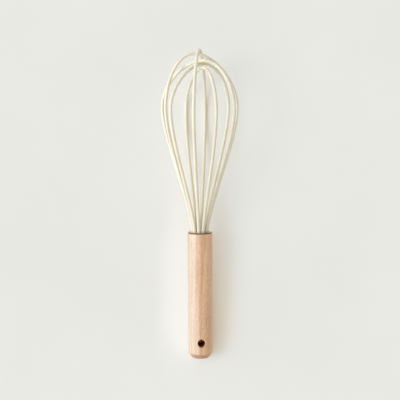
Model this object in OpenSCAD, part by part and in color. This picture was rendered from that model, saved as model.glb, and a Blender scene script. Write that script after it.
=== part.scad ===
// Silicone whisk with a turned beech handle, lying on a table as it rests.
// The pieces are drawn upright on the whisk's own axis: butt at z = 0, crown at z = total_l.
// lay_down() then turns them about X until the handle's rim and the lowest wires touch z = 0.
// Seen from above, +Y runs from the butt to the crown and +X to the right.

/* [Whole whisk] */
// Length from the butt to the top of the crown
total_l = 240; // [220:1:270]
// Widest size across the balloon, outside to outside
balloon_d = 65; // [58:0.5:76]

/* [Handle] */
// Length of the wood
handle_l = 98; // [88:0.5:106]
// Diameter where the wood meets the end cap
handle_top_d = 19.4; // [18.8:0.1:24]
// Diameter just above the chamfer at the butt
handle_butt_d = 18.7; // [17:0.1:23]
// Length of the chamfer round the butt, along the handle
butt_chamfer_l = 3.9; // [1:0.1:5]
// Depth of the same chamfer, across the handle
butt_chamfer_w = 3.1; // [1:0.1:4]
// Radius of the rounded edge at the top of the wood
top_edge_r = 0.7; // [0.3:0.1:1.2]

/* [Hanging hole] */
// Height of the hole's middle above the butt
hang_z = 12.7; // [9.5:0.1:20]
// Diameter of the hole
hang_d = 5.5; // [4:0.1:7]
// Width of the broken edge round each mouth
hang_edge_w = 0.8; // [0.3:0.1:1.2]
// How far the hole is turned about the handle from straight up
hang_turn = 5; // [-20:1:20]

/* [Socket and end cap] */
// Depth of the straight bore from the top of the wood
socket_l = 30; // [24:0.5:40]
// Full angle of the drill point at the bore's floor
drill_angle = 118; // [90:1:140]
// How far the cap's edge stays inside the wood's edge
cap_inset = 0.65; // [0.3:0.05:1]
// Thickness of the cap's disc
cap_t = 0.9; // [0.6:0.1:1.5]
// Radius of the rounded edge on the disc
cap_edge_r = 0.3; // [0.1:0.05:0.4]
// Length of the cap's skirt inside the bore
skirt_l = 3.5; // [2:0.1:5]
// Wall of the skirt
skirt_t = 0.5; // [0.4:0.05:0.6]

/* [Wires] */
// Outside diameter of a silicone sleeve
wire_d = 2.5; // [2.2:0.1:2.7]
// Diameter of the steel core
core_d = 1.2; // [0.8:0.1:1.5]
// Length of the bush that spaces the wires
bush_l = 12; // [8:0.5:16]
// Wall of the bush outside its holes
bush_wall = 1.05; // [0.9:0.05:1.3]
// Width of the web between two holes of the bush
hole_web = 0.45; // [0.35:0.05:0.8]
// Length of bare core below the bush
bare_l = 10.5; // [6:0.5:12]

/* [Balloon] */
// Height of the widest place above the bush
belly_rise = 100; // [90:0.5:112]
// How far each wire's first straight pull reaches above the bush
neck_reach = 22.5; // [16:0.5:32]
// Gap between two wires where they cross at the crown
crown_gap = 0.15; // [0.1:0.05:0.8]
// Further drop from the two outer crowns to the three inner ones
nest_drop = 2.5; // [1:0.1:6]
// Angle of the first wire from the whisk's right side
first_angle = 8; // [0:1:16]

/* [Fits] */
// Gap between a wire and its hole in the bush
bush_play = 0.1; // [0.05:0.01:0.15]
// Gap between a wire and its hole in the end cap
cap_play = 0.2; // [0.15:0.01:0.25]
// Gap between the socket's wall and what sits in it
socket_play = 0.1; // [0.05:0.01:0.2]
// Gap between a core and its sleeve, and its bed of adhesive
core_play = 0.04; // [0.02:0.01:0.08]

/* [Hidden] */
$fn = 96;

// Five loops make ten wires, evenly spaced where they leave the cap
loops = 5;
wires = 2*loops;
wire_r = wire_d/2;
core_r = core_d/2;

// Shape of each loop, as shares of the balloon's half width. A loop's near side faces its own
// angle. Sway moves the belly and the crown along the loop, drift moves them across it.
half_width_shares = [0.885, 1, 0.985, 0.951, 1];
belly_sway_shares = [0.055, -0.02, -0.015, 0, -0.04];
crown_sway_shares = [-0.13, 0.13, 0.13, 0.03, -0.14];
drift_shares = [0.04, -0.045, 0.05, 0.005, -0.02];
// Turn of each loop about the whisk's axis, as a share of the angle between wires
twist_shares = [0, 0, -0.13, 0.055, 0.02];
// Place of each loop in the stack of crowns, counted from the top
crown_ranks = [1, 2, 4, 0, 3];
// Ranks from here on hang lower by nest_drop
inner_rank = 2;
// Pull of the curves above the neck, as shares of the leg's and the crown's size
belly_pull_share = 0.26;
shoulder_rise_share = 0.52;
shoulder_width_share = 0.48;

// Steps along a leg and along half a crown, and sides round a wire
leg_steps = 14;
crown_steps = 11;
sides = 8;
arc_steps = 5;
// Overrun of every cut past the face that it opens
over = 0.5*socket_play;

// Sizes that follow from the ones above
step_angle = 360/wires;
half_width = balloon_d/2 - wire_r;
pitch_r = (wire_d + 2*bush_play + hole_web)/(2*sin(step_angle/2));
bush_r = pitch_r + wire_r + bush_play + bush_wall;
socket_r = bush_r + socket_play;
socket_floor_z = handle_l - socket_l;
socket_tip_z = socket_floor_z - socket_r/tan(drill_angle/2);
neck_z = handle_l - skirt_l;
bush_z = neck_z - bush_l;
core_end_z = bush_z - bare_l;
belly_z = neck_z + belly_rise;
crown_pitch = wire_d + crown_gap;
cap_r = handle_top_d/2 - cap_inset;
butt_r = handle_butt_d/2;
face_r = butt_r - butt_chamfer_w;

function unit(v) = v/norm(v);
function bezier(a, b, c, d, t) = pow(1 - t, 3)*a + 3*t*pow(1 - t, 2)*b + 3*t*t*(1 - t)*c + pow(t, 3)*d;
function smooth(f) = f*f*(3 - 2*f);
// Points of a quarter or other arc, as [radius, height]
function arc(cx, cz, r, from, to) =
    [for (i = [0:arc_steps]) let (a = from + (to - from)*i/arc_steps) [cx + r*cos(a), cz + r*sin(a)]];

function loop_angle(k) = first_angle - k*step_angle;
function crown_z(k) = total_l - wire_r - crown_ranks[k]*crown_pitch
    - (crown_ranks[k] < inner_rank ? 0 : nest_drop);
function belly_r(k, s) = (half_width_shares[k] + s*belly_sway_shares[k])*half_width;
function crown_off(k, s) = s*crown_sway_shares[k]*half_width;

// One wire of loop k as [radius, height]: s is 1 on the near side and -1 on the far side
function leg_point(k, s, t) = bezier([pitch_r, neck_z], [pitch_r, neck_z + neck_reach],
    [belly_r(k, s), belly_z - belly_pull_share*belly_rise], [belly_r(k, s), belly_z], t);
function crown_point(k, s, t) = bezier([belly_r(k, s), belly_z],
    [belly_r(k, s), belly_z + shoulder_rise_share*(crown_z(k) - belly_z)],
    [crown_off(k, s) + shoulder_width_share*belly_r(k, s), crown_z(k)],
    [crown_off(k, s), crown_z(k)], t);
// The same point in space, with the loop's twist and drift
function placed(k, s, p) = let (f = smooth((p[1] - neck_z)/(crown_z(k) - neck_z)),
    a = loop_angle(k) + twist_shares[k]*step_angle*f, d = drift_shares[k]*half_width*f)
    [s*p[0]*cos(a) - d*sin(a), s*p[0]*sin(a) + d*cos(a), p[1]];
function wire_side(k, s) = concat(
    [for (i = [0:leg_steps]) placed(k, s, leg_point(k, s, i/leg_steps))],
    [for (i = [1:crown_steps]) placed(k, s, crown_point(k, s, i/crown_steps))]);
// The bent wire from bush to bush, without its straight ends
function loop_path(k) = let (near = wire_side(k, 1), far = wire_side(k, -1), n = len(far))
    concat(near, [for (i = [n - 2:-1:0]) far[i]]);
function foot(k, s, z) = [s*pitch_r*cos(loop_angle(k)), s*pitch_r*sin(loop_angle(k)), z];
function wire_path(k, end_z) = concat([foot(k, 1, end_z)], loop_path(k), [foot(k, -1, end_z)]);

// The lying pose: the tilt at which both the butt's rim and the lowest wire touch the table
all_points = [for (k = [0:loops - 1]) each loop_path(k)];
lie_tilt = max([for (p = all_points) if (p[2] > handle_l)
    atan((p[1] + wire_r - butt_r)/(p[2] - butt_chamfer_l))]);
lift = butt_r*cos(lie_tilt) - butt_chamfer_l*sin(lie_tilt);
function along_y(p) = p[2]*cos(lie_tilt) + p[1]*sin(lie_tilt);
mid_x = (min([for (p = all_points) p[0]]) + max([for (p = all_points) p[0]]))/2;
mid_y = (max([for (p = all_points) along_y(p)]) + wire_r - face_r*sin(lie_tilt))/2;

// Moves a piece from the upright axis to where it lies, with the origin under the box's middle
module lay_down() {
    translate([-mid_x, -mid_y, lift]) rotate([lie_tilt - 90, 0, 0]) children();
}

// Ring i of a tube of radius r round a path, whose flat lies square to across
function ring(path, across, i, r) = let (n = len(path),
    before = i == 0 ? path[1] - path[0] : path[i] - path[i - 1],
    after = i == n - 1 ? before : path[i + 1] - path[i],
    t = unit(unit(before) + unit(after)), u = unit(cross(across, t)), v = cross(t, u))
    [for (j = [0:sides - 1]) path[i] + r*(cos(j*360/sides)*u + sin(j*360/sides)*v)];
// Triangles between ring i and ring i + 1 of the skin whose points start at first
function skin(first, rings, flip) = [for (i = [0:rings - 2], j = [0:sides - 1])
    let (a = first + i*sides + j, b = first + i*sides + (j + 1)%sides, c = a + sides, d = b + sides)
    each flip ? [[a, b, c], [b, d, c]] : [[a, c, b], [b, c, d]]];
// Flat end of a tube between an outer ring at a and an inner ring at b
function end_ring(a, b, flip) = [for (j = [0:sides - 1])
    let (p = a + j, q = a + (j + 1)%sides, r = b + j, s = b + (j + 1)%sides)
    each flip ? [[p, r, q], [q, r, s]] : [[p, q, r], [q, s, r]]];
function end_fan(a, flip) = [for (j = [1:sides - 2])
    flip ? [a, a + j + 1, a + j] : [a, a + j, a + j + 1]];

// A rod along a path
module swept_rod(path, across, r) {
    n = len(path);
    polyhedron(points = [for (i = [0:n - 1]) each ring(path, across, i, r)],
        faces = concat(skin(0, n, false), end_fan(0, false), end_fan((n - 1)*sides, true)));
}

// A tube along a path, with a bore from end to end
module swept_tube(path, across, r, bore) {
    n = len(path);
    m = n*sides;
    polyhedron(points = concat([for (i = [0:n - 1]) each ring(path, across, i, r)],
            [for (i = [0:n - 1]) each ring(path, across, i, bore)]),
        faces = concat(skin(0, n, false), skin(m, n, true),
            end_ring(0, m, false), end_ring((n - 1)*sides, m + (n - 1)*sides, true)));
}

function across(k) = [-sin(loop_angle(k)), cos(loop_angle(k)), 0];

// Puts its children at the foot of each of the ten wires
module at_each_wire() {
    for (k = [0:loops - 1], s = [1, -1]) translate(foot(k, s, 0)) children();
}

// Turned beech with a socket for the wires, a chamfered butt and a hole to hang it by
module handle() {
    top_r = handle_top_d/2;
    edge_out = butt_r + (top_r - butt_r)*hang_z/handle_l;
    color("burlywood") lay_down() difference() {
        rotate_extrude() polygon(concat([[0, 0], [face_r, 0], [butt_r, butt_chamfer_l]],
            arc(top_r - top_edge_r, handle_l - top_edge_r, top_edge_r, 0, 90), [[0, handle_l]]));
        rotate_extrude() polygon([[0, socket_tip_z], [socket_r, socket_floor_z],
            [socket_r, handle_l + over], [0, handle_l + over]]);
        translate([0, 0, hang_z]) rotate([0, 0, hang_turn]) {
            rotate([90, 0, 0]) cylinder(h = 2*handle_top_d, d = hang_d, center = true);
            for (a = [90, -90]) rotate([a, 0, 0]) translate([0, 0, edge_out - hang_edge_w])
                cylinder(h = 2*hang_edge_w, d1 = hang_d, d2 = hang_d + 4*hang_edge_w);
        }
    }
}

// Stainless disc on the end of the wood, with a skirt down the socket and ten wire holes
module end_cap() {
    mid = handle_l + cap_t/2;
    color("silver") lay_down() difference() {
        union() {
            rotate_extrude() polygon(concat([[0, handle_l], [cap_r, handle_l]],
                arc(cap_r - cap_edge_r, handle_l + cap_t - cap_edge_r, cap_edge_r, 0, 90),
                [[0, handle_l + cap_t]]));
            translate([0, 0, neck_z]) cylinder(h = skirt_l + cap_t/2, r = bush_r);
        }
        translate([0, 0, neck_z - over]) cylinder(h = skirt_l + over, r = bush_r - skirt_t);
        for (k = [0:loops - 1], s = [1, -1])
            let (p = placed(k, s, leg_point(k, s, (mid - neck_z)/(3*neck_reach))))
                translate([p[0], p[1], handle_l - over])
                    cylinder(h = cap_t + 2*over, r = wire_r + cap_play, $fn = 48);
    }
}

// Nylon insert in the socket that holds the ten wires apart
module wire_bush() {
    lead = bush_wall/2;
    color("dimgray") lay_down() difference() {
        rotate_extrude() polygon([[0, bush_z], [bush_r - lead, bush_z], [bush_r, bush_z + lead],
            [bush_r, neck_z], [0, neck_z]]);
        at_each_wire() translate([0, 0, bush_z - over])
            cylinder(h = bush_l + 2*over, r = wire_r + bush_play, $fn = 48);
    }
}

// Set adhesive below the bush, round the bare ends of the cores
module adhesive_fill() {
    fill_r = socket_r - socket_play/2;
    color("khaki") lay_down() difference() {
        rotate_extrude() polygon([[0, socket_tip_z + socket_play], [fill_r, socket_floor_z + socket_play],
            [fill_r, bush_z], [0, bush_z]]);
        at_each_wire() translate([0, 0, core_end_z])
            cylinder(h = bare_l + over, r = core_r + core_play, $fn = 48);
    }
}

// Spring steel core of loop k + 1, bare at both ends
module wire_core(k) {
    color("gray") lay_down() swept_rod(wire_path(k, core_end_z), across(k), core_r);
}

// Silicone sleeve over the core of loop k + 1
module silicone_sleeve(k) {
    bore = (core_r + core_play)/cos(180/sides);
    color("cornsilk") lay_down() swept_tube(wire_path(k, bush_z), across(k), wire_r, bore);
}

handle();
end_cap();
wire_bush();
adhesive_fill();
wire_core(0);  // wire_core_1
wire_core(1);  // wire_core_2
wire_core(2);  // wire_core_3
wire_core(3);  // wire_core_4
wire_core(4);  // wire_core_5
silicone_sleeve(0);  // silicone_sleeve_1
silicone_sleeve(1);  // silicone_sleeve_2
silicone_sleeve(2);  // silicone_sleeve_3
silicone_sleeve(3);  // silicone_sleeve_4
silicone_sleeve(4);  // silicone_sleeve_5
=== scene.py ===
# Silicone whisk with a turned beech handle, lying on a pale table under soft light from the left.
# Sizes are in millimetres until a mesh is made. The whisk is drawn upright, butt down, and laid down last.
import math

import bmesh
import bpy
from mathutils import Matrix, Vector


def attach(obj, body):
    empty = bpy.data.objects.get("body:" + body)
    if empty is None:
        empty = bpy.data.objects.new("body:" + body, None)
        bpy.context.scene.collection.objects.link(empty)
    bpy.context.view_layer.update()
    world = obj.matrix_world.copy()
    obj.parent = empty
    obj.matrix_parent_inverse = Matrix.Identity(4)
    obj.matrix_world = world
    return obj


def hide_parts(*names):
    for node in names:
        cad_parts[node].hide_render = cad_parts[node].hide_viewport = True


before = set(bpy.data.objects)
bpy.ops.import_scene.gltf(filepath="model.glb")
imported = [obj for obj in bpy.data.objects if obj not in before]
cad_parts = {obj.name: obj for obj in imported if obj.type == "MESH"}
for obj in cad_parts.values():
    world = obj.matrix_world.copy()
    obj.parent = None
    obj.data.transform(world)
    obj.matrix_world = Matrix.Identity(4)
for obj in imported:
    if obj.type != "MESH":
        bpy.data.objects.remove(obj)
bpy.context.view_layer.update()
print("frame loaded with", len(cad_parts), "nodes")

mm = 0.001
body = "root"

# The pose that the whisk takes on the table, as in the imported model
lying = {"tilt": 6.47274, "lift": 8.85075, "middleX": 0.1317, "middleY": 118.833}

layPlace = Vector((-lying["middleX"], -lying["middleY"], lying["lift"])) * mm
layTurn = math.radians(lying["tilt"] - 90)
layDown = Matrix.Translation(layPlace) @ Matrix.Rotation(layTurn, 4, "X")

# What all meshes share: edges sharper than the angle in degrees stay crisp, each rounded corner has so many
# steps, and a lathe's point this near to the axis lies on it
meshing = {"sharpAngle": 35, "cornerSteps": 6, "onAxis": 1e-6}


# Meshes

def addToScene(name, data):
    made = bpy.data.objects.new(name, data)
    bpy.context.scene.collection.objects.link(made)
    return made


def meshPiece(name, points, faces):
    mesh = bpy.data.meshes.new(name)
    mesh.from_pydata([layDown @ (Vector(p) * mm) for p in points], [], faces)
    work = bmesh.new()
    work.from_mesh(mesh)
    bmesh.ops.recalc_face_normals(work, faces=work.faces)
    work.to_mesh(mesh)
    work.free()
    mesh.shade_smooth()
    mesh.set_sharp_from_angle(angle=math.radians(meshing["sharpAngle"]))
    return addToScene(name, mesh)


def roundCorners(outline):
    # outline holds (radius, height, rounding), and the first and last points stay as they are
    steps = meshing["cornerSteps"]
    rounded = [Vector(outline[0][:2])]
    for before, here, after in zip(outline, outline[1:], outline[2:]):
        corner = Vector(here[:2])
        if here[2] == 0:
            rounded.append(corner)
            continue
        toBefore = (Vector(before[:2]) - corner).normalized()
        toAfter = (Vector(after[:2]) - corner).normalized()
        half = toBefore.angle(toAfter) / 2
        reach = here[2] / math.tan(half)
        centre = corner + (toBefore + toAfter).normalized() * here[2] / math.sin(half)
        start = corner + toBefore * reach - centre
        turn = start.angle_signed(corner + toAfter * reach - centre)
        for i in range(steps + 1):
            spoke = start.copy()
            spoke.rotate(Matrix.Rotation(-turn * i / steps, 2))
            rounded.append(centre + spoke)
    rounded.append(Vector(outline[-1][:2]))
    return rounded


def lathe(outline, segments):
    # Turns a closed outline of (radius, height) about Z, where points on the axis become one vertex
    points, rings = [], []
    for radius, height in outline:
        first = len(points)
        count = segments if radius > meshing["onAxis"] else 1
        for i in range(count):
            angle = math.tau * i / segments
            points.append((radius * math.cos(angle), radius * math.sin(angle), height))
        rings.append([first + i % count for i in range(segments)])
    faces = []
    for lower, upper in zip(rings, rings[1:]):
        for i in range(segments):
            j = (i + 1) % segments
            corners = [lower[i], lower[j], upper[j], upper[i]]
            face = list(dict.fromkeys(corners))
            if len(face) > 2:
                faces.append(face)
    return points, faces


def sweep(path, across, radius, bore, sides):
    # A tube along a path, or a rod where the bore is 0
    points, faces = [], []
    rows = [radius, bore] if bore else [radius]
    for row in rows:
        for i, here in enumerate(path):
            ahead = path[min(i + 1, len(path) - 1)] - path[max(i - 1, 0)]
            side = across.cross(ahead).normalized()
            up = ahead.normalized().cross(side)
            for j in range(sides):
                angle = math.tau * j / sides
                points.append(here + row * (math.cos(angle) * side + math.sin(angle) * up))
    count = len(path) * sides
    for row in range(len(rows)):
        for i in range(len(path) - 1):
            for j in range(sides):
                a = row * count + i * sides
                k = (j + 1) % sides
                faces.append([a + j, a + k, a + sides + k, a + sides + j])
    for a in (0, count - sides):
        if bore:
            for j in range(sides):
                k = (j + 1) % sides
                faces.append([a + j, a + k, count + a + k, count + a + j])
        else:
            faces.append([a + j for j in range(sides)])
    return points, faces


# Nodes for materials

def feed(tree, socket, value):
    # A link where the value comes out of a node, and a plain setting where it doesn't
    if isinstance(value, bpy.types.NodeSocket):
        tree.links.new(value, socket)
    else:
        socket.default_value = value


def addNode(tree, kind, inputs=None, **settings):
    made = tree.nodes.new(kind)
    for name, value in settings.items():
        setattr(made, name, value)
    for name, value in (inputs or {}).items():
        feed(tree, made.inputs[name], value)
    return made


def newMaterial(name, shaderInputs):
    material = bpy.data.materials.new(name)
    material.use_nodes = True
    tree = material.node_tree
    shader = tree.nodes["Principled BSDF"]
    for label, value in shaderInputs.items():
        shader.inputs[label].default_value = value
    return material, tree, shader


def newGroup(name, inputs, outputs):
    group = bpy.data.node_groups.new(name, "ShaderNodeTree")
    kinds = {"colour": "NodeSocketColor", "vector": "NodeSocketVector", "value": "NodeSocketFloat"}
    for label, kind in inputs.items():
        group.interface.new_socket(name=label, in_out="INPUT", socket_type=kinds[kind])
    for label, kind in outputs.items():
        group.interface.new_socket(name=label, in_out="OUTPUT", socket_type=kinds[kind])
    return group, group.nodes.new("NodeGroupInput").outputs, group.nodes.new("NodeGroupOutput").inputs


def useGroup(tree, group, inputs):
    return addNode(tree, "ShaderNodeGroup", inputs, node_tree=group).outputs


def mathNode(tree, operation, first, second=0.0, third=0.0):
    return addNode(tree, "ShaderNodeMath", {0: first, 1: second, 2: third}, operation=operation).outputs[0]


def vectorNode(tree, operation, inputs, result="Vector"):
    return addNode(tree, "ShaderNodeVectorMath", inputs, operation=operation).outputs[result]


def weightedSum(tree, *parts):
    # parts holds (value, weight), and the last one is the innermost
    value, weight = parts[-1]
    total = mathNode(tree, "MULTIPLY", value, weight)
    for value, weight in reversed(parts[:-1]):
        total = mathNode(tree, "MULTIPLY_ADD", value, weight, total)
    return total


def axisPart(tree, vector, axis):
    return addNode(tree, "ShaderNodeSeparateXYZ", {0: vector}).outputs[axis]


def axisDistance(tree, position):
    # How far a place is from the upright axis
    flat = vectorNode(tree, "MULTIPLY", {0: position, 1: (1, 1, 0)})
    return vectorNode(tree, "LENGTH", {0: flat}, "Value")


def ramp(tree, value, low, high, lowTo=0.0, highTo=1.0):
    limits = {"Value": value, "From Min": low, "From Max": high, "To Min": lowTo, "To Max": highTo}
    return addNode(tree, "ShaderNodeMapRange", limits, interpolation_type="SMOOTHSTEP").outputs["Result"]


def mixColour(tree, amount, first, second):
    # On a mix of colours, the sockets 6 and 7 are the two colours and the output 2 is the result
    return addNode(tree, "ShaderNodeMix", {0: amount, 6: first, 7: second}, data_type="RGBA").outputs[2]


def scaled(tree, vector, scale):
    made = addNode(tree, "ShaderNodeMapping", {"Vector": vector, "Scale": scale}, vector_type="POINT")
    return made.outputs["Vector"]


def noise(tree, vector, detail, roughness):
    inputs = {"Vector": vector, "Scale": 1.0, "Detail": detail, "Roughness": roughness}
    return addNode(tree, "ShaderNodeTexNoise", inputs).outputs["Fac"]


def emboss(tree, shader, height, look):
    inputs = {"Height": height, "Strength": look["relief"], "Distance": look["bump"]}
    bump = addNode(tree, "ShaderNodeBump", inputs).outputs["Normal"]
    tree.links.new(bump, shader.inputs["Normal"])


def uprightPosition(tree):
    # Object coordinates turned back to the upright whisk, so that grain runs along the handle
    place = addNode(tree, "ShaderNodeTexCoord").outputs["Object"]
    inputs = {"Vector": place, "Location": layPlace, "Rotation": (layTurn, 0, 0)}
    return addNode(tree, "ShaderNodeMapping", inputs, vector_type="TEXTURE").outputs["Vector"]


def facingAlong(tree):
    # 1 on faces square to the whisk's length, and 0 on faces that run along it
    facing = addNode(tree, "ShaderNodeTexCoord").outputs["Normal"]
    turned = addNode(tree, "ShaderNodeVectorRotate", {"Vector": facing, "Axis": (1, 0, 0), "Angle": -layTurn})
    return mathNode(tree, "ABSOLUTE", axisPart(tree, turned.outputs[0], "Z"))


def raysSeen(tree):
    # 1 where the camera, a reflection or a clear material looks, and 0 for light that bounces
    rays = addNode(tree, "ShaderNodeLightPath").outputs
    mirrored = mathNode(tree, "MAXIMUM", rays["Is Glossy Ray"], rays["Is Transmission Ray"])
    return mathNode(tree, "MAXIMUM", rays["Is Camera Ray"], mirrored)


def colour(red, green, blue):
    # A colour as a painter reads it, 0 to 255, to the linear values that shaders take
    linear = [c / 255 / 12.92 if c <= 10 else ((c / 255 + 0.055) / 1.055) ** 2.4 for c in (red, green, blue)]
    return (*linear, 1.0)


# Cloudy variation of a moulded or cast surface, with fine pits for its height
cloudy = {"patchDetail": 4.0, "pitDetail": 3.0, "roughness": 0.6, "patchBetween": (0.3, 0.7)}


def makeMottle():
    group, given, made = newGroup(
        "mouldedMottle", {"Position": "vector", "Colour": "colour", "Shade": "colour", "Patch Scale": "value",
                          "Pit Scale": "value"}, {"Colour": "colour", "Height": "value", "Mask": "value"})
    patchPlace = vectorNode(group, "SCALE", {0: given["Position"], "Scale": given["Patch Scale"]})
    pitPlace = vectorNode(group, "SCALE", {0: given["Position"], "Scale": given["Pit Scale"]})
    clouds = noise(group, patchPlace, cloudy["patchDetail"], cloudy["roughness"])
    patches = ramp(group, clouds, *cloudy["patchBetween"])
    pits = noise(group, pitPlace, cloudy["pitDetail"], cloudy["roughness"])
    group.links.new(mixColour(group, patches, given["Shade"], given["Colour"]), made["Colour"])
    group.links.new(pits, made["Height"])
    group.links.new(patches, made["Mask"])
    return group


# Fine lines that follow one direction, as turning, drawing or brushing leaves them
drawn = {"fineDetail": 2.0, "fineRoughness": 0.7, "fineShare": 0.6, "wideScale": (0.13, 0.13, 0.13),
         "wideDetail": 2.0, "wideRoughness": 0.5, "wideShare": 0.4, "lineBetween": (0.35, 0.65)}


def makeToolLines():
    group, given, made = newGroup("toolLines", {"Position": "vector", "Colour": "colour", "Shade": "colour"},
                                  {"Colour": "colour", "Height": "value", "Mask": "value"})
    fine = noise(group, given["Position"], drawn["fineDetail"], drawn["fineRoughness"])
    widePlace = scaled(group, given["Position"], drawn["wideScale"])
    wide = noise(group, widePlace, drawn["wideDetail"], drawn["wideRoughness"])
    both = weightedSum(group, (fine, drawn["fineShare"]), (wide, drawn["wideShare"]))
    lines = ramp(group, both, *drawn["lineBetween"])
    group.links.new(mixColour(group, lines, given["Shade"], given["Colour"]), made["Colour"])
    group.links.new(fine, made["Height"])
    group.links.new(lines, made["Mask"])
    return group


mottle = makeMottle()
toolLines = makeToolLines()

# The hole across the handle. Its mouths are softened by a broken edge, given by points beyond the wall and
# beyond the side: first those where the edge leaves the wall, then those where it comes out.
hangingHole = {
    "height": 12.7, "diameter": 5.5, "turn": 5, "segments": 96, "brokenEdge": 0.8,
    "edgeStart": ((0, -0.25), (0.04, -0.04), (0.14, 0.12)),
    "edgeEnd": ((0.1, 0.08), (0.45, 0.34), (1.4, 0.7), (1.4, 3)),
    "clear": 3, "wallMargin": 0.06,
}

# Beech: pale straight grain with short dark flecks, darker where the end grain is cut
beech = {
    "shader": {"Specular IOR Level": 0.85, "Coat Weight": 0.2, "Coat Roughness": 0.42},
    # These paler colours are partly sapwood and partly a painted sheen on the side towards the windows
    "sheenSapEarly": colour(219, 198, 175),
    "sheenSapLate": colour(199, 173, 146),
    "heartEarly": colour(240, 198, 158),
    "heartLate": colour(208, 159, 119),
    "boreRimTone": colour(74, 44, 28),
    "fleck": colour(174, 132, 97),
    "endEarly": colour(188, 135, 100),
    "endLate": colour(164, 111, 80),
    "layers": {  # cells per metre across and along the handle, detail, roughness
        "wander": ((60, 60, 9), 3.0, 0.5),
        "fibres": ((1500, 1500, 75), 4.0, 0.65),
        "fineFibres": ((5200, 5200, 160), 2.0, 0.6),
        "clouds": ((130, 130, 30), 3.0, 0.5),
        "short": ((1000, 1000, 420), 2.0, 0.6),
        "flame": ((170, 170, 22), 3.0, 0.55),
        "pores": ((3600, 3600, 3600), 2.0, 0.6),
    },
    "grainShares": {"rings": 0.12, "fibres": 0.38, "clouds": 0.2, "short": 0.3},
    "cutShares": {"rings": 0.55, "pores": 0.45},
    "reliefShares": {"fineFibres": 0.6, "fibres": 0.5, "flecks": -0.7},
    "ringCentre": (-0.031, 0.024, 0.0),
    "ringsPerMetre": 270.0,
    "ringWander": 2.2,
    "ringTurnsBack": 0.62,
    "ringBetween": (0.1, 0.6),
    "rayCells": (1350, 1350, 240),
    "rayBetween": (0.05, 1.0),
    "raySize": (0.0, 0.36),
    "rayFade": (0.0, 0.14),
    "fleckAmount": 0.5,
    "lateBetween": (0.33, 0.67),
    "sheenEdgeBetween": (-0.0055, 0.001),
    "sheenEdgeWander": 0.008,
    "cutBetween": (0.2, 0.8),
    "buttBetween": (0.01, 0.02),
    "poreBetween": (0.35, 0.7),
    "boreRimWidth": 0.00015,
    "glossBetween": (0.2, 0.8),
    "roughness": (0.36, 0.48),
    "relief": 0.5,
    "bump": 0.00004,
}


def makeBeech():
    material, tree, shader = newMaterial("oiledBeech", beech["shader"])
    position = uprightPosition(tree)
    parts = {name: noise(tree, scaled(tree, position, cells), detail, roughness)
             for name, (cells, detail, roughness) in beech["layers"].items()}
    # Growth rings round a pith outside the handle, bent a little along the grain
    fromPith = vectorNode(tree, "SUBTRACT", {0: position, 1: beech["ringCentre"]})
    ringPlace = weightedSum(tree, (axisDistance(tree, fromPith), beech["ringsPerMetre"]),
                            (parts["wander"], beech["ringWander"]))
    ringPhase = mathNode(tree, "PINGPONG", mathNode(tree, "FRACT", ringPlace), beech["ringTurnsBack"])
    parts["rings"] = ramp(tree, ringPhase, *beech["ringBetween"])
    # The short flecks of the rays
    rayCells = addNode(tree, "ShaderNodeTexVoronoi", {"Vector": scaled(tree, position, beech["rayCells"]),
                                                      "Scale": 1.0})
    rayPick = addNode(tree, "ShaderNodeSeparateColor", {0: rayCells.outputs["Color"]}).outputs[0]
    raySize = ramp(tree, rayPick, *beech["rayBetween"], *beech["raySize"])
    inRay = ramp(tree, mathNode(tree, "SUBTRACT", raySize, rayCells.outputs["Distance"]), *beech["rayFade"])
    parts["flecks"] = mathNode(tree, "MULTIPLY", inRay, beech["fleckAmount"])
    # The side of the turning towards the windows is paler and greyer, partly sapwood tone and partly a painted
    # sheen, and the other side redder, with a wandering edge between them
    sideways = mathNode(tree, "SUBTRACT", axisPart(tree, position, "X"), beech["sheenEdgeWander"] / 2)
    wandering = mathNode(tree, "MULTIPLY_ADD", parts["flame"], beech["sheenEdgeWander"], sideways)
    redSideShare = ramp(tree, wandering, *beech["sheenEdgeBetween"])
    grain = weightedSum(tree, *((parts[name], share) for name, share in beech["grainShares"].items()))
    late = ramp(tree, grain, *beech["lateBetween"])
    sheenPaleSide = mixColour(tree, late, beech["sheenSapEarly"], beech["sheenSapLate"])
    redSide = mixColour(tree, late, beech["heartEarly"], beech["heartLate"])
    wood = mixColour(tree, parts["flecks"], mixColour(tree, redSideShare, sheenPaleSide, redSide), beech["fleck"])
    # At the butt, faces cut across the fibres drink more oil
    nearButt = ramp(tree, axisPart(tree, position, "Z"), *beech["buttBetween"], 1.0, 0.0)
    cutAcross = mathNode(tree, "MULTIPLY", ramp(tree, facingAlong(tree), *beech["cutBetween"]), nearButt)
    parts["pores"] = ramp(tree, parts["pores"], *beech["poreBetween"])
    cutTone = weightedSum(tree, *((parts[name], share) for name, share in beech["cutShares"].items()))
    wood = mixColour(tree, cutAcross, wood, mixColour(tree, cutTone, beech["endEarly"], beech["endLate"]))
    # A thin darker ring at the mouths of the hanging hole
    acrossHole = addNode(tree, "ShaderNodeVectorRotate", {"Vector": position, "Axis": (0, 0, 1),
                                                          "Angle": -math.radians(hangingHole["turn"])})
    fromHole = vectorNode(tree, "MULTIPLY", {0: acrossHole.outputs[0], 1: (1, 0, 1)})
    holeAxis = (0, 0, hangingHole["height"] * mm)
    reach = vectorNode(tree, "DISTANCE", {0: fromHole, 1: holeAxis}, "Value")
    wall = hangingHole["diameter"] / 2 * mm
    boreRim = ramp(tree, reach, wall, wall + beech["boreRimWidth"], 1.0, 0.0)
    wood = mixColour(tree, boreRim, wood, beech["boreRimTone"])
    tree.links.new(wood, shader.inputs["Base Color"])
    gloss = ramp(tree, parts["fibres"], *beech["glossBetween"], *beech["roughness"])
    tree.links.new(gloss, shader.inputs["Roughness"])
    relief = weightedSum(tree, *((parts[name], share) for name, share in beech["reliefShares"].items()))
    emboss(tree, shader, relief, beech)
    return material


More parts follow.
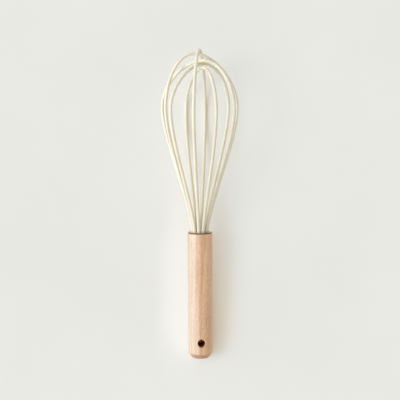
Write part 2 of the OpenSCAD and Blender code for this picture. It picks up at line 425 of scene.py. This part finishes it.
# Silicone: cream, soft and a little see-through at its skin
silicone = {
    "lit": colour(234, 227, 206), "shade": colour(228, 219, 195), "patches": 95.0, "pits": 3200.0,
    "relief": 0.35, "bump": 0.00002,
    "shader": {"Roughness": 0.38, "Specular IOR Level": 0.6, "Coat Weight": 0.12, "Coat Roughness": 0.35,
               "Subsurface Weight": 0.2, "Subsurface Radius": (0.0016, 0.0013, 0.0009),
               "Subsurface Scale": 1.0, "Sheen Weight": 0.1},
}

# Hidden inside the handle: the bush and the set adhesive
bushNylon = {"lit": colour(66, 64, 62), "shade": colour(48, 47, 46), "patches": 240.0, "pits": 4200.0,
             "relief": 0.5, "bump": 0.00003, "shader": {"Roughness": 0.55}}
setAdhesive = {"lit": colour(206, 190, 150), "shade": colour(184, 164, 122), "patches": 160.0, "pits": 900.0,
               "relief": 0.5, "bump": 0.0001, "shader": {"Roughness": 0.3}}

# The wall of the hanging hole, a dull, darker warm brown
boreWall = {"lit": colour(172, 90, 46), "shade": colour(138, 66, 30), "patches": 700.0, "pits": 5000.0,
                "relief": 0.5, "bump": 0.00003, "shader": {"Roughness": 0.8, "Specular IOR Level": 0.1}}


def mottled(tree, look):
    return useGroup(tree, mottle, {"Position": uprightPosition(tree), "Colour": look["lit"],
                                   "Shade": look["shade"], "Patch Scale": look["patches"],
                                   "Pit Scale": look["pits"]})


def makeMoulded(name, look):
    material, tree, shader = newMaterial(name, look["shader"])
    surface = mottled(tree, look)
    tree.links.new(surface["Colour"], shader.inputs["Base Color"])
    emboss(tree, shader, surface["Height"], look)
    return material


# Steel: the cap is turned, the cores are drawn. Roughness goes from that of dull lines to that of bright ones.
# The cap's edge colour is a painted shadow line at its rim
capSteel = {"bright": colour(214, 205, 191), "dull": colour(188, 177, 162), "edge": colour(102, 60, 30),
            "shadowLineBetween": (0.3, 0.7), "linesPerMetre": 9000.0, "roughness": (0.44, 0.29), "relief": 0.4,
            "bump": 0.00001}
coreSteel = {"bright": colour(176, 176, 176), "dull": colour(134, 134, 136), "cells": (9000, 9000, 120),
             "roughness": (0.5, 0.35), "relief": 0.4, "bump": 0.000006}


def makeSteel(name, look, turned):
    material, tree, shader = newMaterial(name, {"Metallic": 1.0})
    position = uprightPosition(tree)
    if turned:  # rings about the whisk's axis
        outward = mathNode(tree, "MULTIPLY", axisDistance(tree, position), look["linesPerMetre"])
        upward = mathNode(tree, "MULTIPLY", axisPart(tree, position, "Z"), look["linesPerMetre"])
        lines = addNode(tree, "ShaderNodeCombineXYZ", {"X": outward, "Y": upward}).outputs[0]
    else:
        lines = scaled(tree, position, look["cells"])
    surface = useGroup(tree, toolLines, {"Position": lines, "Colour": look["bright"], "Shade": look["dull"]})
    metal = surface["Colour"]
    if turned:  # the side edge is painted dark brown, a painted shadow line at the rim
        metal = mixColour(tree, ramp(tree, facingAlong(tree), *look["shadowLineBetween"]), look["edge"], metal)
    tree.links.new(metal, shader.inputs["Base Color"])
    tree.links.new(ramp(tree, surface["Mask"], 0.0, 1.0, *look["roughness"]), shader.inputs["Roughness"])
    emboss(tree, shader, surface["Height"], look)
    return material


materials = {
    "beech": makeBeech(),
    "silicone": makeMoulded("creamSilicone", silicone),
    "cap_steel": makeSteel("turnedCapSteel", capSteel, True),
    "spring_steel": makeSteel("drawnSpringSteel", coreSteel, False),
    "bush_nylon": makeMoulded("bushNylon", bushNylon),
    "adhesive": makeMoulded("setAdhesive", setAdhesive),
}
boreFinish = makeMoulded("boreBeech", boreWall)
print("materials made:", len(materials) + 1)


def dress(piece, slotName):
    piece.data.materials.clear()
    piece.data.materials.append(materials[slotName])


def finishPiece(piece, slotName, node):
    dress(piece, slotName)
    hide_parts(node)
    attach(piece, body)


# The handle, turned on a lathe and then bored through for hanging. Rings of faces stand close together
# where the hole breaks through, so that its rim cuts clean, and wide apart above it.
handle = {
    "length": 98.0, "topDiameter": 19.4, "buttDiameter": 18.7, "chamferLength": 3.9, "chamferDepth": 3.1,
    "topRounding": 0.7, "faceRounding": 1.6, "shoulderRounding": 2.6, "socketRadius": 7.59681,
    "socketDepth": 30.0, "drillAngle": 118, "mouthRounding": 0.2, "rimRings": 12, "rimSpacing": 0.45,
    "sideSpacing": 4.0, "segments": 160, "weld": 0.000002, "boredSharpAngle": 30,
}


def turnHandle():
    top, butt = handle["topDiameter"] / 2, handle["buttDiameter"] / 2
    socket, length, chamferTop = handle["socketRadius"], handle["length"], handle["chamferLength"]
    floor = length - handle["socketDepth"]
    tip = floor - socket / math.tan(math.radians(handle["drillAngle"] / 2))
    outline = roundCorners([
        (0, 0, 0), (butt - handle["chamferDepth"], 0, handle["faceRounding"]),
        (butt, chamferTop, handle["shoulderRounding"]), (top, length, handle["topRounding"]),
        (socket, length, handle["mouthRounding"]), (socket, floor, 0), (0, tip, 0)])
    rings, spacing = handle["rimRings"], handle["rimSpacing"]
    heights = [hangingHole["height"] - rings * spacing + spacing * i for i in range(2 * rings + 1)]
    while heights[-1] + 2 * handle["sideSpacing"] < length:
        heights.append(heights[-1] + handle["sideSpacing"])
    side = [Vector((butt + (top - butt) * (z - chamferTop) / (length - chamferTop), z)) for z in heights]
    start = next(i for i, point in enumerate(outline) if point.y > heights[0])
    points, faces = lathe(outline[:start] + side + outline[start:], handle["segments"])
    return meshPiece("beechHandle", points, faces)


def boreHandle(piece):
    # The cutter follows the hole's own axis, and opens out at each mouth
    top, butt = handle["topDiameter"] / 2, handle["buttDiameter"] / 2
    hole, edge = hangingHole["diameter"] / 2, hangingHole["brokenEdge"]
    rim = butt + (top - butt) * hangingHole["height"] / handle["length"]
    half = [(hole + out, rim - edge + up) for out, up in hangingHole["edgeStart"]]
    half += [(hole + edge + out, rim + up) for out, up in hangingHole["edgeEnd"]]
    half.append((0, rim + hangingHole["clear"]))
    points, faces = lathe([(r, -z) for r, z in reversed(half)] + half, hangingHole["segments"])
    turn = (Matrix.Translation((0, 0, hangingHole["height"]))
            @ Matrix.Rotation(math.radians(hangingHole["turn"]), 4, "Z")
            @ Matrix.Rotation(math.radians(90), 4, "X"))
    tool = meshPiece("holeCutter", [turn @ Vector(p) for p in points], faces)
    cut = piece.modifiers.new("hangingHole", "BOOLEAN")
    cut.operation, cut.solver, cut.object = "DIFFERENCE", "EXACT", tool
    bpy.context.view_layer.update()
    bored = bpy.data.meshes.new_from_object(piece.evaluated_get(bpy.context.evaluated_depsgraph_get()))
    piece.modifiers.clear()
    piece.data = bored
    bored.name = "beechHandle"
    work = bmesh.new()
    work.from_mesh(bored)
    bmesh.ops.dissolve_degenerate(work, dist=handle["weld"], edges=work.edges)
    work.to_mesh(bored)
    work.free()
    bored.shade_smooth()
    bored.set_sharp_from_angle(angle=math.radians(handle["boredSharpAngle"]))
    bpy.data.objects.remove(tool)
    # The faces of the bore itself, which take the bore's own finish
    toBore = (layDown @ Matrix.Scale(mm, 4) @ turn).inverted()
    within = hole + hangingHole["wallMargin"]
    return [face.index for face in bored.polygons if (toBore @ face.center).xy.length < within]


beechHandle = turnHandle()
wallFaces = boreHandle(beechHandle)
finishPiece(beechHandle, "beech", "handle")
beechHandle.data.materials.append(boreFinish)
for index in wallFaces:
    beechHandle.data.polygons[index].material_index = 1
print("handle turned and bored, wall faces:", len(wallFaces))

# The balloon. Each loop's shape is given in shares of the half width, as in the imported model.
balloon = {
    "length": 240.0, "diameter": 65.0, "sleeve": 2.5, "core": 1.2, "boreGap": 0.04, "holeGap": 0.1,
    "holeWeb": 0.45, "neckHeight": 94.5, "bushFoot": 82.5, "coreFoot": 72.0, "bellyRise": 100.0,
    "neckReach": 22.5, "crownGap": 0.15, "nestDrop": 2.5, "firstAngle": 8.0, "bellyPull": 0.26,
    "shoulderRise": 0.52, "shoulderWidth": 0.48, "curveSteps": 240, "spacing": 1.3, "sleeveSides": 24,
    "coreSides": 12,
}
loops = [
    {"halfWidth": 0.885, "bellySway": 0.055, "crownSway": -0.13, "drift": 0.04, "twist": 0.0, "rank": 1},
    {"halfWidth": 1.0, "bellySway": -0.02, "crownSway": 0.13, "drift": -0.045, "twist": 0.0, "rank": 2},
    {"halfWidth": 0.985, "bellySway": -0.015, "crownSway": 0.13, "drift": 0.05, "twist": -0.13, "rank": 4},
    {"halfWidth": 0.951, "bellySway": 0.0, "crownSway": 0.03, "drift": 0.005, "twist": 0.055, "rank": 0},
    {"halfWidth": 1.0, "bellySway": -0.04, "crownSway": -0.14, "drift": -0.02, "twist": 0.02, "rank": 3},
]
stepAngle = 180 / len(loops)
strands = [
    {"name": "siliconeSleeve", "slot": "silicone", "node": "silicone_sleeve", "foot": balloon["bushFoot"],
     "radius": balloon["sleeve"] / 2, "bore": balloon["core"] / 2 + balloon["boreGap"],
     "sides": balloon["sleeveSides"]},
    {"name": "springCore", "slot": "spring_steel", "node": "wire_core", "foot": balloon["coreFoot"],
     "radius": balloon["core"] / 2, "bore": 0, "sides": balloon["coreSides"]},
]


def bezier(a, b, c, d, t):
    s = 1 - t
    return s ** 3 * Vector(a) + 3 * t * s ** 2 * Vector(b) + 3 * t * t * s * Vector(c) + t ** 3 * Vector(d)


def loopProfile(loop, side):
    # One half of a loop, flat, from the bush to its crown: side is 1 on the near side and -1 on the far side
    sleeveRadius = balloon["sleeve"] / 2
    halfWidth = balloon["diameter"] / 2 - sleeveRadius
    pitch = balloon["sleeve"] + 2 * balloon["holeGap"] + balloon["holeWeb"]
    foot = pitch / (2 * math.sin(math.radians(stepAngle / 2)))
    neck, belly = balloon["neckHeight"], balloon["neckHeight"] + balloon["bellyRise"]
    crown = balloon["length"] - sleeveRadius - loop["rank"] * (balloon["sleeve"] + balloon["crownGap"])
    crown -= balloon["nestDrop"] if loop["rank"] > 1 else 0
    wide = (loop["halfWidth"] + side * loop["bellySway"]) * halfWidth
    top = side * loop["crownSway"] * halfWidth
    leg = [(foot, neck), (foot, neck + balloon["neckReach"]),
           (wide, belly - balloon["bellyPull"] * balloon["bellyRise"]), (wide, belly)]
    shoulder = [(wide, belly), (wide, belly + balloon["shoulderRise"] * (crown - belly)),
                (top + balloon["shoulderWidth"] * wide, crown), (top, crown)]
    steps = balloon["curveSteps"]
    profile = [bezier(*leg, i / steps) for i in range(steps)]
    profile += [bezier(*shoulder, i / steps) for i in range(steps + 1)]
    return profile, crown, halfWidth


def wireSide(index, loop, side):
    # The same half, turned to its place round the axis, where it drifts and twists more and more on its way up
    profile, crown, halfWidth = loopProfile(loop, side)
    neck = balloon["neckHeight"]
    placed = []
    for reach, height in profile:
        risen = (height - neck) / (crown - neck)
        eased = risen * risen * (3 - 2 * risen)
        angle = math.radians(balloon["firstAngle"] - index * stepAngle + loop["twist"] * stepAngle * eased)
        drift = loop["drift"] * halfWidth * eased
        placed.append(Vector((side * reach * math.cos(angle) - drift * math.sin(angle),
                              side * reach * math.sin(angle) + drift * math.cos(angle), height)))
    return placed


def evenPath(points, spacing):
    # The same path with its points evenly spaced
    lengths = [0.0]
    for a, b in zip(points, points[1:]):
        lengths.append(lengths[-1] + (b - a).length)
    count = round(lengths[-1] / spacing)
    even, k = [], 0
    for i in range(count + 1):
        want = lengths[-1] * i / count
        while k < len(points) - 2 and lengths[k + 1] < want:
            k += 1
        even.append(points[k].lerp(points[k + 1], (want - lengths[k]) / (lengths[k + 1] - lengths[k])))
    return even


def bendLoop(index, loop):
    near, far = wireSide(index, loop, 1), wireSide(index, loop, -1)
    bent = near + far[-2::-1]
    angle = math.radians(balloon["firstAngle"] - index * stepAngle)
    across = Vector((-math.sin(angle), math.cos(angle), 0))
    for strand in strands:
        ends = [Vector((end.x, end.y, strand["foot"])) for end in (bent[0], bent[-1])]
        path = evenPath([ends[0]] + bent + [ends[1]], balloon["spacing"])
        points, faces = sweep(path, across, strand["radius"], strand["bore"], strand["sides"])
        number = index + 1
        finishPiece(meshPiece(f"{strand['name']}{number}", points, faces), strand["slot"],
                    f"{strand['node']}_{number}")


for index, loop in enumerate(loops):
    bendLoop(index, loop)
print("loops bent:", len(loops))

# The pieces that stay as packed get their finish
for node, slotName in (("end_cap", "cap_steel"), ("wire_bush", "bush_nylon"), ("adhesive_fill", "adhesive")):
    dress(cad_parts[node], slotName)
print("packed pieces dressed")

# The table. Open places glow a little, and the glow fades near the pieces, a painted contact shade. Near the
# pieces it carries painted warm bounce light in their lee, painted light on their lit side, and painted brown
# shade where they cover it. Lengths are in metres.
table = {
    "shader": {"Roughness": 0.8, "Specular IOR Level": 0.2},
    "lit": colour(234, 234, 229), "shade": colour(231, 231, 226), "patches": 6.0, "pits": 900.0,
    "size": 6.0, "drop": 0.00005, "samples": 12,
    "glow": 0.72, "glowReach": 0.03, "glowFade": 2.6,
    "shadeUnderPieces": colour(156, 110, 62), "shadeUnderBetween": (0.15, 0.35),
    "sideReach": 0.03,
    # Painted bounce light near the pieces: warm in their lee and lighter on their lit side
    "sides": [
        {"bounceTone": colour(241, 232, 210), "leaning": (-0.8, 0.0, 0.6), "between": (0.45, 0.82)},  # in the lee
        {"bounceTone": colour(243, 243, 239), "leaning": (0.8, 0.0, 0.6), "between": (0.58, 0.98)},  # on the lit side
    ],
}


def openness(tree, reach, leaning=None):
    # 1 where nothing is near, and less where pieces stand over a place, or on the side that it leans to
    inputs = {"Distance": reach}
    if leaning:
        inputs["Normal"] = addNode(tree, "ShaderNodeCombineXYZ", dict(zip("XYZ", leaning))).outputs[0]
    return addNode(tree, "ShaderNodeAmbientOcclusion", inputs, samples=table["samples"]).outputs["AO"]


def makeTableTop():
    material, tree, shader = newMaterial("paleTable", table["shader"])
    toned = mottled(tree, table)["Colour"]
    overhead = openness(tree, table["glowReach"])
    for side in table["sides"]:
        beside = openness(tree, table["sideReach"], side["leaning"])
        toned = mixColour(tree, ramp(tree, beside, *side["between"]), side["bounceTone"], toned)
    # Painted brown shade where the pieces cover the table, which is also what shows through the hanging hole
    shadeUnderPieces = mixColour(tree, ramp(tree, overhead, *table["shadeUnderBetween"]), table["shadeUnderPieces"], toned)
    tree.links.new(shadeUnderPieces, shader.inputs["Base Color"])
    # The glow is only what is seen, directly or in a reflection, and keeps wide shadows pale
    # Near the pieces the glow fades, which paints a darker contact shade
    faded = mathNode(tree, "POWER", overhead, table["glowFade"])
    share = mathNode(tree, "MULTIPLY", raysSeen(tree), mathNode(tree, "MULTIPLY", faded, table["glow"]))
    glow = addNode(tree, "ShaderNodeEmission", {"Color": toned, "Strength": 1.0})
    blend = addNode(tree, "ShaderNodeMixShader", {0: share, 1: shader.outputs[0], 2: glow.outputs[0]})
    tree.links.new(blend.outputs[0], tree.nodes["Material Output"].inputs["Surface"])
    return material


def layTable():
    half, low = table["size"] / 2, -table["drop"]
    mesh = bpy.data.meshes.new("paleTable")
    corners = [(-half, -half, low), (half, -half, low), (half, half, low), (-half, half, low)]
    mesh.from_pydata(corners, [], [[0, 1, 2, 3]])
    floor = addToScene("paleTable", mesh)
    mesh.materials.append(makeTableTop())


layTable()
print("table laid")

# Light: two soft windows on the left, one low and one high, and a pale room that is dimmer on the right.
# Angles are in degrees: how high a window stands and how wide it looks.
windows = {
    "lowWindow": {"rise": 6, "width": 12, "strength": 0.6},
    "highWindow": {"rise": 44, "width": 28, "strength": 1.25},
}
room = {
    "ambient": 0.74, "lean": 0.38, "leanTo": (-1.0, 0.0, 0.0), "horizon": colour(232, 232, 228),
    "zenith": colour(120, 118, 115), "skyBetween": (0.35, 0.98),
}


def hangWindow(name, look):
    light = bpy.data.lights.new(name, "SUN")
    light.energy, light.angle = look["strength"], math.radians(look["width"])
    rise = math.radians(look["rise"])
    travel = Vector((math.cos(rise), 0, -math.sin(rise)))
    addToScene(name, light).rotation_euler = travel.to_track_quat("-Z", "Y").to_euler()


def paintRoom():
    # What is seen is a plain pale sky, and what lights the pieces is grey and leans to the left
    world = bpy.data.worlds.new("paleRoom")
    bpy.context.scene.world = world
    world.use_nodes = True
    tree = world.node_tree
    direction = addNode(tree, "ShaderNodeTexCoord").outputs["Generated"]
    upward = axisPart(tree, direction, "Z")
    sky = mixColour(tree, ramp(tree, upward, *room["skyBetween"]), room["horizon"], room["zenith"])
    towards = vectorNode(tree, "DOT_PRODUCT", {0: direction, 1: room["leanTo"]}, "Value")
    level = mathNode(tree, "MULTIPLY_ADD", towards, room["ambient"] * room["lean"], room["ambient"])
    grey = addNode(tree, "ShaderNodeCombineColor", {"Red": level, "Green": level, "Blue": level}).outputs[0]
    tree.links.new(mixColour(tree, raysSeen(tree), grey, sky), tree.nodes["Background"].inputs["Color"])


for name, look in windows.items():
    hangWindow(name, look)
paintRoom()
print("windows hung:", len(windows))

# The camera looks straight down from above the whisk's middle. It sees from near to far, in metres.
view = {"place": (0.0, 4.03, 1108.85), "turn": -0.2665, "lens": 126.61, "near": 0.05, "far": 20}


def hangCamera():
    data = bpy.data.cameras.new("overhead")
    data.lens, data.clip_start, data.clip_end = view["lens"], view["near"], view["far"]
    camera = addToScene("overhead", data)
    camera.location = Vector(view["place"]) * mm
    camera.rotation_euler = (0, 0, math.radians(view["turn"]))
    bpy.context.scene.camera = camera


hangCamera()
bpy.context.scene.view_settings.view_transform = "Standard"
print("camera placed")
